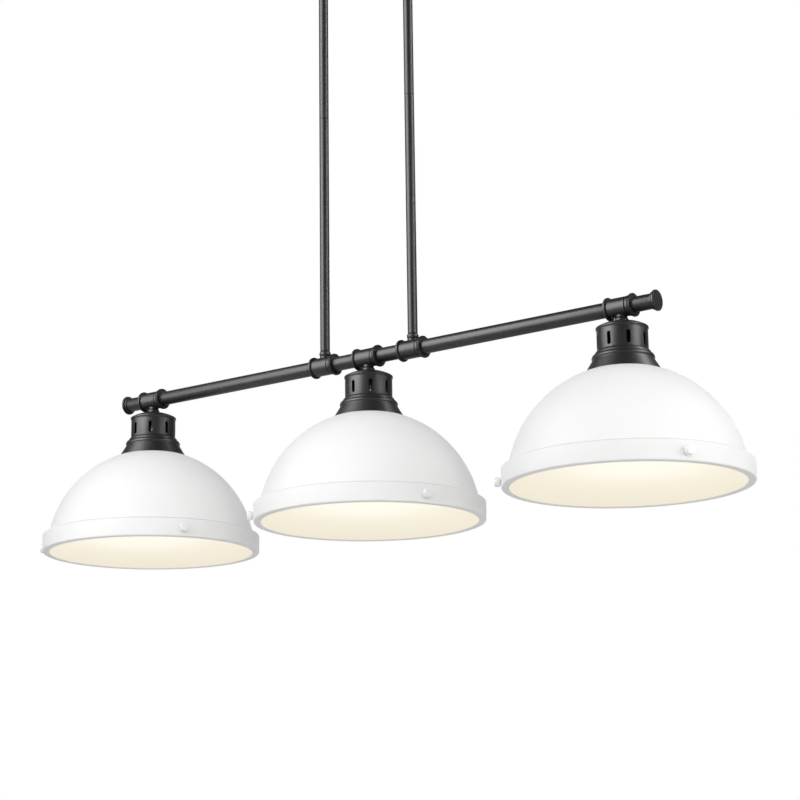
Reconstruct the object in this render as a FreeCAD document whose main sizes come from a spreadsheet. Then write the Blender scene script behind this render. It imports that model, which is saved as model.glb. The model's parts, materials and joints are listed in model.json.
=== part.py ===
"""Linear island pendant: three domed shades under one bar, hung from the ceiling on two rods.

Millimetres, +Z up, X along the bar, origin at the middle of the ceiling strap's top face.
"""
import FreeCAD, Part
import math
import os

import Sketcher

V = FreeCAD.Vector

# ---------------------------------------------------------------------------
# Driving dimensions: name, millimetres (or degrees, or a count), what it is
# ---------------------------------------------------------------------------
SIZES = [
    ("shade_pitch", 457.2, "from one shade to the next along the bar"),
    ("rod_pitch", 172.8, "between the two hanging rods"),
    # bar and its fittings
    ("bar_dia", 23.0, "outside of the bar tube"),
    ("bar_wall", 1.5, "wall of the bar tube"),
    ("bar_overhang", 51.8, "bar tube past the outer shades' centres"),
    ("wire_hole_dia", 10.4, "holes in the bar for the nipples and the wires"),
    ("nipple_in_bar", 2.0, "how far a nipple reaches into the bar"),
    ("slide_gap", 0.05, "radial clearance of what slides or screws on"),
    ("tee_dia", 29.4, "body of a tee"),
    ("tee_length", 33.8, "tee from its flange's face to its collar"),
    ("tee_left", 22.0, "from a tee's stem back to its flange's face"),
    ("flange_dia", 34.8, "rolled flanges of tees and collars"),
    ("flange_width", 3.8, "width of a rolled flange"),
    ("boss_dia", 17.0, "boss that a stem or rod stands on"),
    ("boss_reach", 15.6, "bar axis to the boss's face"),
    ("collar_ring_dia", 30.6, "ring of a locking collar"),
    ("collar_ring_width", 4.4, "width of that ring"),
    ("groove_dia", 26.6, "bottom of the grooves beside the rings"),
    ("groove_width", 1.2, "width of a groove"),
    ("flange_edge", 0.6, "rounding of a flange's rim"),
    ("end_cap_dia", 31.2, "disc of an end cap"),
    ("end_cap_disc", 3.4, "thickness of that disc"),
    ("end_cap_ring_dia", 27.0, "ring behind the disc"),
    ("end_cap_ring", 3.2, "width of that ring"),
    ("end_cap_groove", 0.8, "grooves on either side of that ring"),
    ("end_cap_groove_dia", 25.0, "bottom of those grooves"),
    ("end_cap_plug", 12.0, "plug inside the bar"),
    ("end_cap_chamfer", 0.8, "edge of the disc"),
    # rods
    ("rod_dia", 15.5, "outside of a rod"),
    ("rod_wall", 1.3, "wall of a rod between its threads"),
    ("rod_length", 396.0, "each of the two lengths of a rod"),
    ("rod_thread", 14.0, "depth of the thread at a rod's end"),
    ("rod_edge", 0.5, "chamfer at a rod's end, seen as the joint line"),
    ("nipple_dia", 9.6, "threaded nipples and stems"),
    ("nipple_bore", 6.6, "wire way through them"),
    ("nipple_hold", 12.0, "thread that a nipple or ball has in a rod"),
    ("bead_dia", 18.6, "bead at the foot of a rod"),
    ("bead_height", 8.6, "height of that bead"),
    ("bead_swell", 1.8, "how far its side swells out"),
    ("neck_dia", 20.4, "bead between tee and vent cap"),
    ("neck_height", 7.6, "height of that bead"),
    ("neck_top_dia", 15.0, "top of that bead"),
    ("neck_top", 0.6, "plain stretch at its top"),
    ("neck_foot_dia", 15.0, "foot of that bead"),
    # swivels and canopy
    ("ball_dia", 22.0, "swivel ball on top of a rod"),
    ("ball_depth", 21.5, "ceiling to the ball's centre"),
    ("ball_gap", 0.06, "running clearance of the ball in its seat"),
    ("ball_neck_dia", 9.6, "neck under the ball"),
    ("ball_reach", 14.0, "ball's centre to the rod's top"),
    ("seat_dia", 32.0, "swivel seat"),
    ("seat_hole_dia", 18.0, "opening under the ball"),
    ("seat_rise", 2.0, "seat's rim below the ball's centre"),
    ("canopy_length", 330.0, "along the bar"),
    ("canopy_width", 120.0, "across the bar"),
    ("canopy_depth", 30.0, "ceiling to the canopy's underside"),
    ("canopy_corner", 22.0, "radius of its corners seen from below"),
    ("canopy_edge", 5.0, "rolled bottom edge"),
    ("canopy_wall", 1.2, "sheet"),
    ("strap_length", 262.0, "ceiling strap"),
    ("strap_width", 30.0, "its width"),
    ("strap_sheet", 2.5, "its thickness"),
    ("strap_flat", 150.0, "middle stretch flat on the ceiling"),
    ("strap_drop", 5.0, "joggle that sets the ends down"),
    ("box_pitch", 88.9, "outlet box screws"),
    ("box_slot_width", 5.0, "slots for those screws"),
    ("box_slot_length", 16.0, "length of a slot"),
    ("strap_hole_dia", 22.0, "wire hole in the strap"),
    ("stud_pitch", 236.0, "between the two canopy studs"),
    ("stud_dia", 4.0, "a canopy stud"),
    ("stud_head_dia", 8.0, "its head"),
    ("stud_head", 2.6, "its head's height"),
    ("stud_out", 6.0, "stud past the canopy's underside"),
    ("stud_nut_af", 7.0, "lock nut across its flats"),
    ("stud_nut", 3.2, "lock nut's height"),
    ("cap_nut_dia", 12.0, "round cap nut under the canopy"),
    ("cap_nut_side", 5.0, "straight side of that nut"),
    ("cap_nut_room", 1.0, "room above the stud inside it"),
    ("earth_dia", 8.0, "earth screw's head"),
    ("earth_head", 2.5, "height of that head"),
    ("earth_place", 28.0, "from the strap's middle"),
    # vent cap
    ("cap_dia", 74.4, "vent cap"),
    ("cap_rim_dia", 76.6, "its flared top rim"),
    ("cap_rim", 2.2, "height of that rim"),
    ("cap_flare", 4.4, "height of the flare under it"),
    ("cap_height", 34.8, "vent cap's height up to its rim"),
    ("cap_dome", 8.0, "its domed top above the rim"),
    ("cap_crown_dia", 20.0, "flat middle of that top"),
    ("cap_wall", 1.0, "sheet"),
    ("slot_width", 6.0, "a vent slot"),
    ("slot_length", 19.8, "its length"),
    ("slot_margin", 3.4, "metal under a slot"),
    ("slot_count", 8, "slots round a cap"),
    # stepped collar
    ("step_one_dia", 82.4, "upper step"),
    ("step_one", 5.4, "its height"),
    ("step_two_dia", 91.4, "lower step"),
    ("step_two", 6.2, "its height"),
    ("waist_dia", 88.8, "top of the cone"),
    ("waist", 1.6, "undercut above the cone"),
    ("cone_dia", 112.0, "cone where it meets the dome"),
    ("cone_height", 19.24, "its height"),
    ("step_inset", 4.0, "how far a step's round side leans in"),
    ("collar_gap", 0.05, "collar's edge over the dome"),
    ("collar_wall", 1.2, "sheet"),
    ("stem_nut_af", 15.0, "lock nuts on a stem, across the flats"),
    ("stem_nut", 4.0, "their height"),
    # dome
    ("dome_dia", 344.0, "outside of the dome"),
    ("dome_wall", 1.2, "sheet"),
    ("crown_dia", 60.0, "flat crown under the cone"),
    ("cove", 5.0, "cove at the dome's foot"),
    ("skirt_out", 2.4, "how far the skirt stands out past the half sphere"),
    ("skirt_edge", 0.8, "outer edge of the ledge"),
    ("skirt_height", 25.6, "skirt under the ledge, inside the ring"),
    # ring, glass, screws
    ("ring_height", 28.8, "retaining ring's height"),
    ("ring_wall", 1.2, "sheet"),
    ("ring_round", 4.0, "its rounded corners"),
    ("top_lip", 5.0, "lip turned in at its top"),
    ("bottom_lip", 11.5, "lip that carries the glass"),
    ("skirt_gap", 0.6, "top lip to skirt"),
    ("ring_below", 1.4, "ring's underside below the dome's centre"),
    ("glass_sheet", 3.0, "glass diffuser"),
    ("glass_gap", 5.3, "glass edge to the ring's wall"),
    ("glass_round", 1.0, "its ground edge"),
    ("knob_dia", 14.0, "thumbscrew head"),
    ("knob_length", 8.0, "its length"),
    ("knob_round", 1.4, "its rounded edge"),
    ("knob_neck_dia", 8.0, "neck behind the head"),
    ("knob_neck", 2.0, "its length"),
    ("screw_dia", 5.0, "thumbscrew's thread"),
    ("screw_gap", 0.3, "thread's tip to the skirt, and its neck to the ring"),
    ("insert_dia", 10.0, "threaded insert inside the ring's wall"),
    ("insert_length", 2.4, "its length"),
    ("screw_drop", 15.0, "screws below the ring's top"),
    ("screw_count", 3, "thumbscrews round a ring"),
    # lamp
    ("holder_dia", 38.0, "lampholder"),
    ("holder_flange_dia", 49.0, "its flange on the crown"),
    ("holder_flange", 3.0, "flange's thickness"),
    ("holder_above", 13.0, "lampholder above its flange"),
    ("holder_below", 30.0, "lampholder below its flange"),
    ("holder_gap", 0.6, "crown's hole round the lampholder"),
    ("holder_shoulder", 7.0, "round shoulder at its top"),
    ("holder_edge", 1.0, "chamfer at its mouth"),
    ("hub_thread", 8.0, "thread that its stem has"),
    ("stem_in_hub", 5.0, "how far the stem screws in"),
    ("holder_floor", 4.0, "floor over the socket"),
    ("contact_dia", 7.0, "centre contact"),
    ("contact", 1.0, "its height"),
    ("shell_wall", 0.5, "brass screw shell"),
    ("shell_lip", 2.0, "lampholder past the shell's edge"),
    ("socket_dia", 27.2, "inside of the screw shell"),
    ("socket_depth", 25.0, "its depth"),
    ("ring_nut_dia", 54.0, "nut that holds the dome up"),
    ("ring_nut", 5.0, "its height"),
    ("bulb_fit", 0.3, "bulb's cap to the screw shell and the contact"),
    ("bulb_cap", 24.5, "height of a bulb's screw cap"),
    ("bulb_tip_dia", 9.0, "bulb's own contact"),
    ("bulb_cap_slope", 4.0, "insulator between contact and cap"),
    ("bulb_vent_dia", 3.0, "hole through that contact"),
    ("bulb_wall", 1.0, "bulb's envelope"),
    ("bulb_dia", 60.0, "bulb's globe"),
    ("bulb_length", 108.0, "bulb over all"),
    ("bulb_shoulder", 17.0, "globe's centre line to where the neck joins it"),
    ("bulb_neck_round", 65.0, "radius of the neck's hollow curve"),
    # how the round pieces are clocked about their own axes, degrees
    ("cap_clock_left", -10.0, "first slot from straight ahead"),
    ("cap_clock_middle", -3.5, "first slot from straight ahead"),
    ("cap_clock_right", -2.0, "first slot from straight ahead"),
    ("ring_clock_left", -1.0, "turn of the ring"),
    ("ring_clock_middle", 4.0, "turn of the ring"),
    ("ring_clock_right", -4.0, "turn of the ring"),
]


class Size:
    """A number that also carries the sheet formula that gives it."""

    def __init__(self, value, formula):
        self.value = float(value)
        self.formula = formula

    @staticmethod
    def of(other):
        return other if isinstance(other, Size) else Size(other, repr(other))

    def join(self, sign, other, value):
        return Size(value, "(%s %s %s)" % (self.formula, sign, other.formula))

    def __add__(self, other):
        other = Size.of(other)
        return self.join("+", other, self.value + other.value)

    def __radd__(self, other):
        return Size.of(other) + self

    def __sub__(self, other):
        other = Size.of(other)
        return self.join("-", other, self.value - other.value)

    def __rsub__(self, other):
        return Size.of(other) - self

    def __mul__(self, other):
        other = Size.of(other)
        return self.join("*", other, self.value * other.value)

    def __rmul__(self, other):
        return Size.of(other) * self

    def __truediv__(self, other):
        other = Size.of(other)
        return self.join("/", other, self.value / other.value)

    def __neg__(self):
        return Size(-self.value, "(0 - %s)" % self.formula)

    def root(self):
        return Size(math.sqrt(self.value), "sqrt(%s)" % self.formula)


class Sizes:
    """The sheet of driving dimensions; each one is read as an attribute."""

    def __init__(self, doc, rows):
        self.sheet = doc.addObject("Spreadsheet::Sheet", "sizes")
        for number, (name, value, note) in enumerate(rows, start=1):
            cell = "B%d" % number
            self.sheet.set("A%d" % number, name)
            self.sheet.set(cell, str(value))
            self.sheet.set("C%d" % number, note)
            self.sheet.setAlias(cell, name)
            setattr(self, name, Size(value, "sizes." + name))
        doc.recompute()


doc = FreeCAD.newDocument("island_pendant")
d = Sizes(doc, SIZES)

# ---------------------------------------------------------------------------
# How pieces are drawn and made
# ---------------------------------------------------------------------------


def bind(thing, prop, size):
    thing.setExpression(prop, Size.of(size).formula)


def new_body(name):
    body = doc.addObject("PartDesign::Body", name)
    body.Label = name
    return body


def new_sketch(body, plane, name, offset=None):
    """An empty sketch on one of the body's own planes, moved along its normal by offset."""
    sketch = body.newObject("Sketcher::SketchObject", name)
    face = [item for item in body.Origin.OriginFeatures if item.Role == plane][0]
    sketch.AttachmentSupport = (face, [""])
    sketch.MapMode = "FlatFace"
    if offset is not None:
        bind(sketch, "AttachmentOffset.Base.z", offset)
    return sketch


def pin(pos, geo, kind, size):
    """The rule that ties one coordinate of a sketch point to its size."""
    if abs(size.value) < 1e-9:
        axis = -2 if kind == "DistanceX" else -1
        return Sketcher.Constraint("PointOnObject", geo, pos, axis), None
    return Sketcher.Constraint(kind, -1, 1, geo, pos, size.value), size


def pin_point(pos, geo, x, y):
    return [pin(pos, geo, "DistanceX", x), pin(pos, geo, "DistanceY", y)]


def pin_radius(geo, radius):
    return Sketcher.Constraint("Radius", geo, radius.value), radius


def apply_rules(sketch, rules):
    """Adds the constraints in one go and binds those that have a size."""
    rows = sketch.addConstraint([rule for rule, size in rules])
    for row, (rule, size) in zip(rows, rules):
        if size is not None:
            bind(sketch, "Constraints[%d]" % row, size)


def arc_between(start, end, radius, turn):
    """The short arc from start to end; turn is 1 where it bends left and -1 where it bends right."""
    chord = end - start
    rise = math.sqrt(max(radius ** 2 - (chord.Length / 2) ** 2, 0.0))
    left = V(-chord.y, chord.x, 0).normalize()
    centre = (start + end) * 0.5 + left * (rise * turn)
    first, last = (start, end) if turn > 0 else (end, start)
    angles = [math.atan2(p.y - centre.y, p.x - centre.x) for p in (first, last)]
    return Part.ArcOfCircle(Part.Circle(centre, V(0, 0, 1), radius), angles[0], angles[1])


def draw_outline(sketch, corners):
    """A closed outline. A corner is (x, y), or (x, y, radius, turn) where an arc leads to it."""
    corners = [tuple(Size.of(part) for part in corner[:3]) + corner[3:] for corner in corners]
    ends = []
    for number, corner in enumerate(corners):
        before = corners[number - 1]
        start = V(before[0].value, before[1].value, 0)
        end = V(corner[0].value, corner[1].value, 0)
        if len(corner) == 2:
            geo = sketch.addGeometry(Part.LineSegment(start, end), False)
            ends.append((geo, 1, 2))
        else:
            arc = arc_between(start, end, corner[2].value, corner[3])
            geo = sketch.addGeometry(arc, False)
            ends.append((geo, 1, 2) if corner[3] > 0 else (geo, 2, 1))
    rules = []
    for number, (geo, first, last) in enumerate(ends):
        geo_next, first_next, last_next = ends[(number + 1) % len(ends)]
        rules.append((Sketcher.Constraint("Coincident", geo, last, geo_next, first_next), None))
        corner = corners[number]
        rules += pin_point(last, geo, corner[0], corner[1])
        if len(corner) == 2:
            continue
        before = corners[number - 1]
        across = abs(before[0].value - corner[0].value)
        upright = abs(before[1].value - corner[1].value)
        half_circle = abs(math.hypot(across, upright) - 2 * corner[2].value) < 1e-6
        if half_circle and upright < 1e-6:
            rules.append(pin(3, geo, "DistanceY", corner[1]))
        elif half_circle:
            rules.append(pin(3, geo, "DistanceX", corner[0]))
        else:
            rules.append(pin_radius(geo, corner[2]))
    apply_rules(sketch, rules)


def draw_circle(sketch, x, y, radius):
    x, y, radius = Size.of(x), Size.of(y), Size.of(radius)
    circle = Part.Circle(V(x.value, y.value, 0), V(0, 0, 1), radius.value)
    geo = sketch.addGeometry(circle, False)
    apply_rules(sketch, pin_point(3, geo, x, y) + [pin_radius(geo, radius)])


def draw_slot(sketch, x, y, length, width, upright):
    """A slot with round ends about (x, y), upright or lying."""
    x, y, half, end = Size.of(x), Size.of(y), (length - width) / 2, width / 2
    if upright:
        corners = [(x + end, y - half), (x + end, y + half), (x - end, y + half, end, 1),
                   (x - end, y - half), (x + end, y - half, end, 1)]
    else:
        corners = [(x + half, y - end), (x + half, y + end, end, 1), (x - half, y + end),
                   (x - half, y - end, end, 1)]
    draw_outline(sketch, corners[1:] if upright else corners)


def spin(body, sketch, axis):
    feature = body.newObject("PartDesign::Revolution", body.Name + "_turned")
    feature.Profile = sketch
    feature.ReferenceAxis = (sketch, [axis])
    feature.Angle = 360
    return feature


def turned(name, corners, axis="V_Axis"):
    """A body turned from the outline of one half, drawn as (radius, height) about its axis."""
    body = new_body(name)
    sketch = new_sketch(body, "XZ_Plane", name + "_outline")
    draw_outline(sketch, corners)
    spin(body, sketch, axis)
    return body


def turned_along_bar(name, corners):
    """The same about the bar's axis; corners are (place along the bar, radius)."""
    return turned(name, corners, "H_Axis")


def cut(body, sketch, depth, back=False):
    pocket = body.newObject("PartDesign::Pocket", sketch.Name + "_cut")
    pocket.Profile = sketch
    pocket.Reversed = back
    bind(pocket, "Length", depth)
    return pocket


def pad(body, sketch, height, back=False):
    feature = body.newObject("PartDesign::Pad", sketch.Name + "_pad")
    feature.Profile = sketch
    feature.Reversed = back
    bind(feature, "Length", height)
    return feature


def repeat_round(body, features, count):
    upright = [item for item in body.Origin.OriginFeatures if item.Role == "Z_Axis"][0]
    pattern = body.newObject("PartDesign::PolarPattern", body.Name + "_round")
    pattern.Originals = features
    pattern.Axis = (upright, [""])
    pattern.Angle = 360
    bind(pattern, "Occurrences", count)
    body.Tip = pattern
    return pattern


def place(body, x=0, y=0, z=0, turn=None, about=V(0, 0, 1)):
    if turn is not None:
        body.Placement.Rotation = FreeCAD.Rotation(about, Size.of(turn).value)
        if isinstance(turn, Size):
            bind(body, "Placement.Rotation.Angle", turn)
    for letter, size in (("x", x), ("y", y), ("z", z)):
        bind(body, "Placement.Base." + letter, size)
    return body


nodes = []


def keep(piece):
    nodes.append(piece)
    return piece


def keep_group(name, pieces):
    """Identical small pieces that share one node as separate solids."""
    group = doc.addObject("Part::Compound", name)
    group.Label = name
    group.Links = pieces
    nodes.append(group)
    return group


def tube_outline(outer, inner, low, high):
    return [(outer, low), (outer, high), (inner, high), (inner, low)]


# ---------------------------------------------------------------------------
# Levels that follow from the sizes
# ---------------------------------------------------------------------------
bar_radius = d.bar_dia / 2
nipple_radius = d.nipple_dia / 2
thread_radius = nipple_radius + d.slide_gap
rod_foot = d.boss_reach + d.bead_height
bar_level = -(d.ball_depth + d.ball_reach + 2 * d.rod_length + rod_foot)
joint_level = bar_level + rod_foot + d.rod_length
rod_top = joint_level + d.rod_length

# the shade's pieces are drawn from the bar's axis down
cap_top = -(d.boss_reach + d.neck_height)
cap_shoulder = cap_top - d.cap_dome
cap_foot = cap_shoulder - d.cap_height
step_one_foot = cap_foot - d.step_one
step_two_foot = step_one_foot - d.step_two
cone_top = step_two_foot - d.waist
cone_foot = cone_top - d.cone_height
dome_radius = d.dome_dia / 2
cone_radius = d.cone_dia / 2
dome_level = cone_foot - d.collar_gap - (dome_radius * dome_radius - cone_radius * cone_radius).root()
crown_radius = d.crown_dia / 2
crown_level = dome_level + (dome_radius * dome_radius - crown_radius * crown_radius).root()
ring_foot = dome_level - d.ring_below
ring_top = ring_foot + d.ring_height
skirt_radius = dome_radius + d.skirt_out
lip_radius = skirt_radius + d.skirt_gap
ring_radius = lip_radius + d.top_lip
glass_foot = ring_foot + d.ring_wall
glass_radius = ring_radius - d.ring_wall - d.glass_gap
screw_level = ring_top - d.screw_drop
holder_foot = crown_level - d.holder_below
holder_top = crown_level + d.holder_flange + d.holder_above

left_side = ("left", -d.shade_pitch, d.cap_clock_left, d.ring_clock_left)
middle = ("middle", 0 * d.shade_pitch, d.cap_clock_middle, d.ring_clock_middle)
right_side = ("right", d.shade_pitch, d.cap_clock_right, d.ring_clock_right)
SHADES = [left_side, middle, right_side]
RODS = [("left", -d.rod_pitch / 2), ("right", d.rod_pitch / 2)]

# ---------------------------------------------------------------------------
# More ways of making pieces
# ---------------------------------------------------------------------------


def hollow_out(body, name, corners, axis="H_Axis", plane="XZ_Plane"):
    """Takes a turned shape out of a body."""
    sketch = new_sketch(body, plane, name)
    draw_outline(sketch, corners)
    feature = body.newObject("PartDesign::Groove", name + "_groove")
    feature.Profile = sketch
    feature.ReferenceAxis = (sketch, [axis])
    feature.Angle = 360
    return feature


def round_hole(body, name, x, y, radius, depth, up=False):
    """A hole along Z from the body's XY plane, down or up."""
    sketch = new_sketch(body, "XY_Plane", name)
    draw_circle(sketch, x, y, radius)
    return cut(body, sketch, depth, back=up)


def swell(chord, rise):
    """Radius of the arc that stands out by rise over a chord."""
    return (chord * chord / 4 + rise * rise) / (2 * rise)


def hex_nut(name, across, height, bore):
    """A nut from z = 0 up, its corners chamfered at the top."""
    body = new_body(name)
    sketch = new_sketch(body, "XY_Plane", name + "_outline")
    corner = across / Size.of(3).root()
    half = across / 2
    draw_outline(sketch, [(corner, 0), (corner / 2, half), (-corner / 2, half),
                          (-corner, 0), (-corner / 2, -half), (corner / 2, -half)])
    draw_circle(sketch, 0, 0, bore)
    pad(body, sketch, height)
    slope = (corner - half) * 0.6
    hollow_out(body, name + "_top", [(half, height), (corner + slope, height - 2 * slope),
                                    (corner + slope, height)], "V_Axis")
    return body


def faces_where(shape, test):
    return ["Face%d" % number for number, face in enumerate(shape.Faces, start=1) if test(face)]


# ---------------------------------------------------------------------------
# Ceiling strap, canopy and their fastenings
# ---------------------------------------------------------------------------
stud_place = d.stud_pitch / 2
stud_radius = d.stud_dia / 2
stud_bore = stud_radius + d.slide_gap
box_place = d.box_pitch / 2


def make_strap():
    """A joggled flat bar: its middle lies on the ceiling, its ends are set down for the stud heads."""
    body = new_body("mounting_strap")
    side = new_sketch(body, "XZ_Plane", "strap_side")
    end = d.strap_length / 2
    flat = d.strap_flat / 2
    sheet = d.strap_sheet
    drop = d.strap_drop
    draw_outline(side, [(-end, -drop - sheet), (-flat - drop, -drop - sheet), (-flat, -sheet),
                        (flat, -sheet), (flat + drop, -drop - sheet), (end, -drop - sheet),
                        (end, -drop), (flat + drop + sheet * 0.4, -drop),
                        (flat + sheet * 0.4, 0), (-flat - sheet * 0.4, 0),
                        (-flat - drop - sheet * 0.4, -drop), (-end, -drop)])
    bar = pad(body, side, d.strap_width)
    bar.SideType = "Symmetric"
    depth = drop + 2 * sheet
    round_hole(body, "strap_wire_hole", 0, 0, d.strap_hole_dia / 2, depth)
    round_hole(body, "strap_earth_hole", d.earth_place, 0, stud_bore, depth)
    for word, side_sign in (("left", -1), ("right", 1)):
        slot = new_sketch(body, "XY_Plane", "box_slot_" + word)
        draw_slot(slot, side_sign * box_place, 0, d.box_slot_length, d.box_slot_width, False)
        cut(body, slot, depth)
        round_hole(body, "stud_hole_" + word, side_sign * stud_place, 0, stud_bore, depth)
    return body


def make_canopy():
    """A drawn sheet box with round corners and a rolled lower edge, open at the ceiling."""
    body = new_body("canopy")
    plan = new_sketch(body, "XY_Plane", "canopy_plan")
    far = d.canopy_length / 2
    wide = d.canopy_width / 2
    corner = d.canopy_corner
    draw_outline(plan, [(far - corner, -wide), (far, -wide + corner, corner, 1),
                        (far, wide - corner), (far - corner, wide, corner, 1),
                        (-far + corner, wide), (-far, wide - corner, corner, 1),
                        (-far, -wide + corner), (-far + corner, -wide, corner, 1)])
    block = pad(body, plan, d.canopy_depth, back=True)
    doc.recompute()
    low = block.Shape.BoundBox.ZMin
    edge = body.newObject("PartDesign::Fillet", "canopy_edge")
    edge.Base = (block, faces_where(block.Shape, lambda face: abs(face.CenterOfMass.z - low) < 1e-6))
    bind(edge, "Radius", d.canopy_edge)
    doc.recompute()
    shell = body.newObject("PartDesign::Thickness", "canopy_shell")
    shell.Base = (edge, faces_where(edge.Shape, lambda face: abs(face.CenterOfMass.z) < 1e-6))
    shell.Reversed = True
    bind(shell, "Value", d.canopy_wall)
    doc.recompute()
    body.Tip = shell
    depth = d.canopy_depth + d.canopy_wall
    for word, side_sign in (("left", -1), ("right", 1)):
        rod_place = side_sign * d.rod_pitch / 2
        round_hole(body, "canopy_rod_hole_" + word, rod_place, 0, d.seat_hole_dia / 2, depth)
        hole_radius = stud_radius + 4 * d.slide_gap
        round_hole(body, "canopy_stud_hole_" + word, side_sign * stud_place, 0, hole_radius, depth)
    return body


def make_stud(name):
    """Head on the strap's end, shank down through the canopy."""
    top = -d.strap_drop
    tip = -(d.canopy_depth + d.stud_out)
    edge = d.stud_dia / 8
    return turned(name, [(0, tip), (stud_radius - edge, tip), (stud_radius, tip + edge),
                         (stud_radius, top), (d.stud_head_dia / 2, top),
                         (d.stud_head_dia / 2, top + d.stud_head / 2),
                         (d.stud_head_dia / 4, top + d.stud_head, d.stud_head_dia / 3, 1),
                         (0, top + d.stud_head)])


def make_cap_nut(name):
    """A round-topped nut, drawn as it hangs: its flat face is at z = 0."""
    radius = d.cap_nut_dia / 2
    side = d.cap_nut_side
    room = d.stud_out + d.cap_nut_room
    edge = d.cap_nut_dia / 20
    return turned(name, [(stud_bore, 0), (radius - edge, 0), (radius, -edge), (radius, -side),
                         (0, -side - radius, radius, -1), (0, -room), (stud_bore, -room)])


keep(make_strap())
keep(make_canopy())
studs = []
stud_nuts = []
cap_nuts = []
for word, side_sign in (("left", -1), ("right", 1)):
    studs.append(place(make_stud("stud_" + word), side_sign * stud_place))
    nut = hex_nut("stud_nut_" + word, d.stud_nut_af, d.stud_nut, stud_bore)
    stud_nuts.append(place(nut, side_sign * stud_place, 0, -(d.strap_drop + d.strap_sheet + d.stud_nut)))
    cap_nuts.append(place(make_cap_nut("cap_nut_" + word), side_sign * stud_place, 0, -d.canopy_depth))
keep_group("strap_studs", studs)
keep_group("stud_lock_nuts", stud_nuts)
keep_group("canopy_cap_nuts", cap_nuts)

earth_top = -d.strap_sheet / 5
earth_radius = d.earth_dia / 2
keep(place(turned("earth_screw", [
    (0, -d.strap_sheet - d.earth_head), (earth_radius / 2, -d.strap_sheet - d.earth_head),
    (earth_radius, -d.strap_sheet - d.earth_head / 2, earth_radius * 0.7, 1),
    (earth_radius, -d.strap_sheet), (stud_radius, -d.strap_sheet),
    (stud_radius, earth_top), (0, earth_top)]), d.earth_place))

# ---------------------------------------------------------------------------
# Swivels: a ball in a cup on the canopy's floor, at the top of each rod
# ---------------------------------------------------------------------------
ball_radius = d.ball_dia / 2
cup_radius = ball_radius + d.ball_gap
seat_floor = -(d.canopy_depth - d.canopy_wall - d.ball_depth)
wire_radius = d.nipple_bore / 2
ball_neck = d.ball_neck_dia / 2


def make_seat(name):
    opening = (cup_radius * cup_radius - seat_floor * seat_floor).root()
    mouth = (cup_radius * cup_radius - d.seat_rise * d.seat_rise).root()
    rim = d.seat_dia / 2
    return turned(name, [(opening, seat_floor, cup_radius, -1), (rim, seat_floor),
                         (rim, -d.seat_rise * 2), (rim - d.seat_rise, -d.seat_rise),
                         (mouth, -d.seat_rise)])


def make_ball(name):
    """Swivel ball with a threaded neck and the wires' bore through both."""
    tip = -(d.ball_reach + d.nipple_hold)
    under = -(ball_radius * ball_radius - ball_neck * ball_neck).root()
    over = (ball_radius * ball_radius - wire_radius * wire_radius).root()
    return turned(name, [(wire_radius, tip), (ball_neck, tip), (ball_neck, under),
                         (wire_radius, over, ball_radius, 1)])


keep_group("swivel_seats", [place(make_seat("seat_" + word), at, 0, -d.ball_depth) for word, at in RODS])
for word, at in RODS:
    keep(place(make_ball("swivel_ball_" + word), at, 0, -d.ball_depth))

# ---------------------------------------------------------------------------
# Hanging rods
# ---------------------------------------------------------------------------


def make_rod(name):
    """Tube with an internal thread's bore at each end."""
    outer = d.rod_dia / 2
    inner = outer - d.rod_wall
    thread = d.rod_thread
    edge = d.rod_edge
    top = d.rod_length
    return turned(name, [(outer - edge, 0), (outer, edge), (outer, top - edge), (outer - edge, top),
                         (thread_radius, top), (thread_radius, top - thread), (inner, top - thread),
                         (inner, thread), (thread_radius, thread), (thread_radius, 0)])


def make_nipple(name, length):
    return turned(name, tube_outline(nipple_radius, wire_radius, 0, length))


def make_rod_bead(name):
    top = d.bead_height
    foot = d.bead_dia / 2 - d.bead_swell
    return turned(name, [(thread_radius, 0), (foot, 0), (foot, top, swell(top, d.bead_swell), 1),
                         (thread_radius, top)])


def make_neck_bead(name):
    """Drawn down from the tee it hangs under."""
    foot = -d.neck_height
    shoulder = d.neck_height - d.neck_top
    lean = (d.neck_foot_dia - d.neck_top_dia) / 2
    side = (shoulder * shoulder + lean * lean).root()
    rise = d.neck_dia / 2 - (d.neck_top_dia + d.neck_foot_dia) / 4
    return turned(name, [(thread_radius, foot), (d.neck_foot_dia / 2, foot),
                         (d.neck_top_dia / 2, -d.neck_top, swell(side, rise), 1),
                         (d.neck_top_dia / 2, 0), (thread_radius, 0)])


nipple_start = bar_radius - d.nipple_in_bar
base_nipple_length = rod_foot + d.nipple_hold - nipple_start
joint_nipples = []
base_nipples = []
beads = []
for word, at in RODS:
    keep(place(make_rod("rod_upper_" + word), at, 0, joint_level))
    keep(place(make_rod("rod_lower_" + word), at, 0, bar_level + rod_foot))
    nipple = make_nipple("joint_nipple_" + word, 2 * d.nipple_hold)
    joint_nipples.append(place(nipple, at, 0, joint_level - d.nipple_hold))
    nipple = make_nipple("base_nipple_" + word, base_nipple_length)
    base_nipples.append(place(nipple, at, 0, bar_level + nipple_start))
    beads.append(place(make_rod_bead("bead_" + word), at, 0, bar_level + d.boss_reach))
keep_group("rod_joint_nipples", joint_nipples)
keep_group("rod_base_nipples", base_nipples)
keep_group("rod_beads", beads)

# ---------------------------------------------------------------------------
# Bar, tees, locking collars and end caps, all turned about the bar's axis
# ---------------------------------------------------------------------------
bar_end = d.shade_pitch + d.bar_overhang
bore_radius = bar_radius + d.slide_gap


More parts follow.
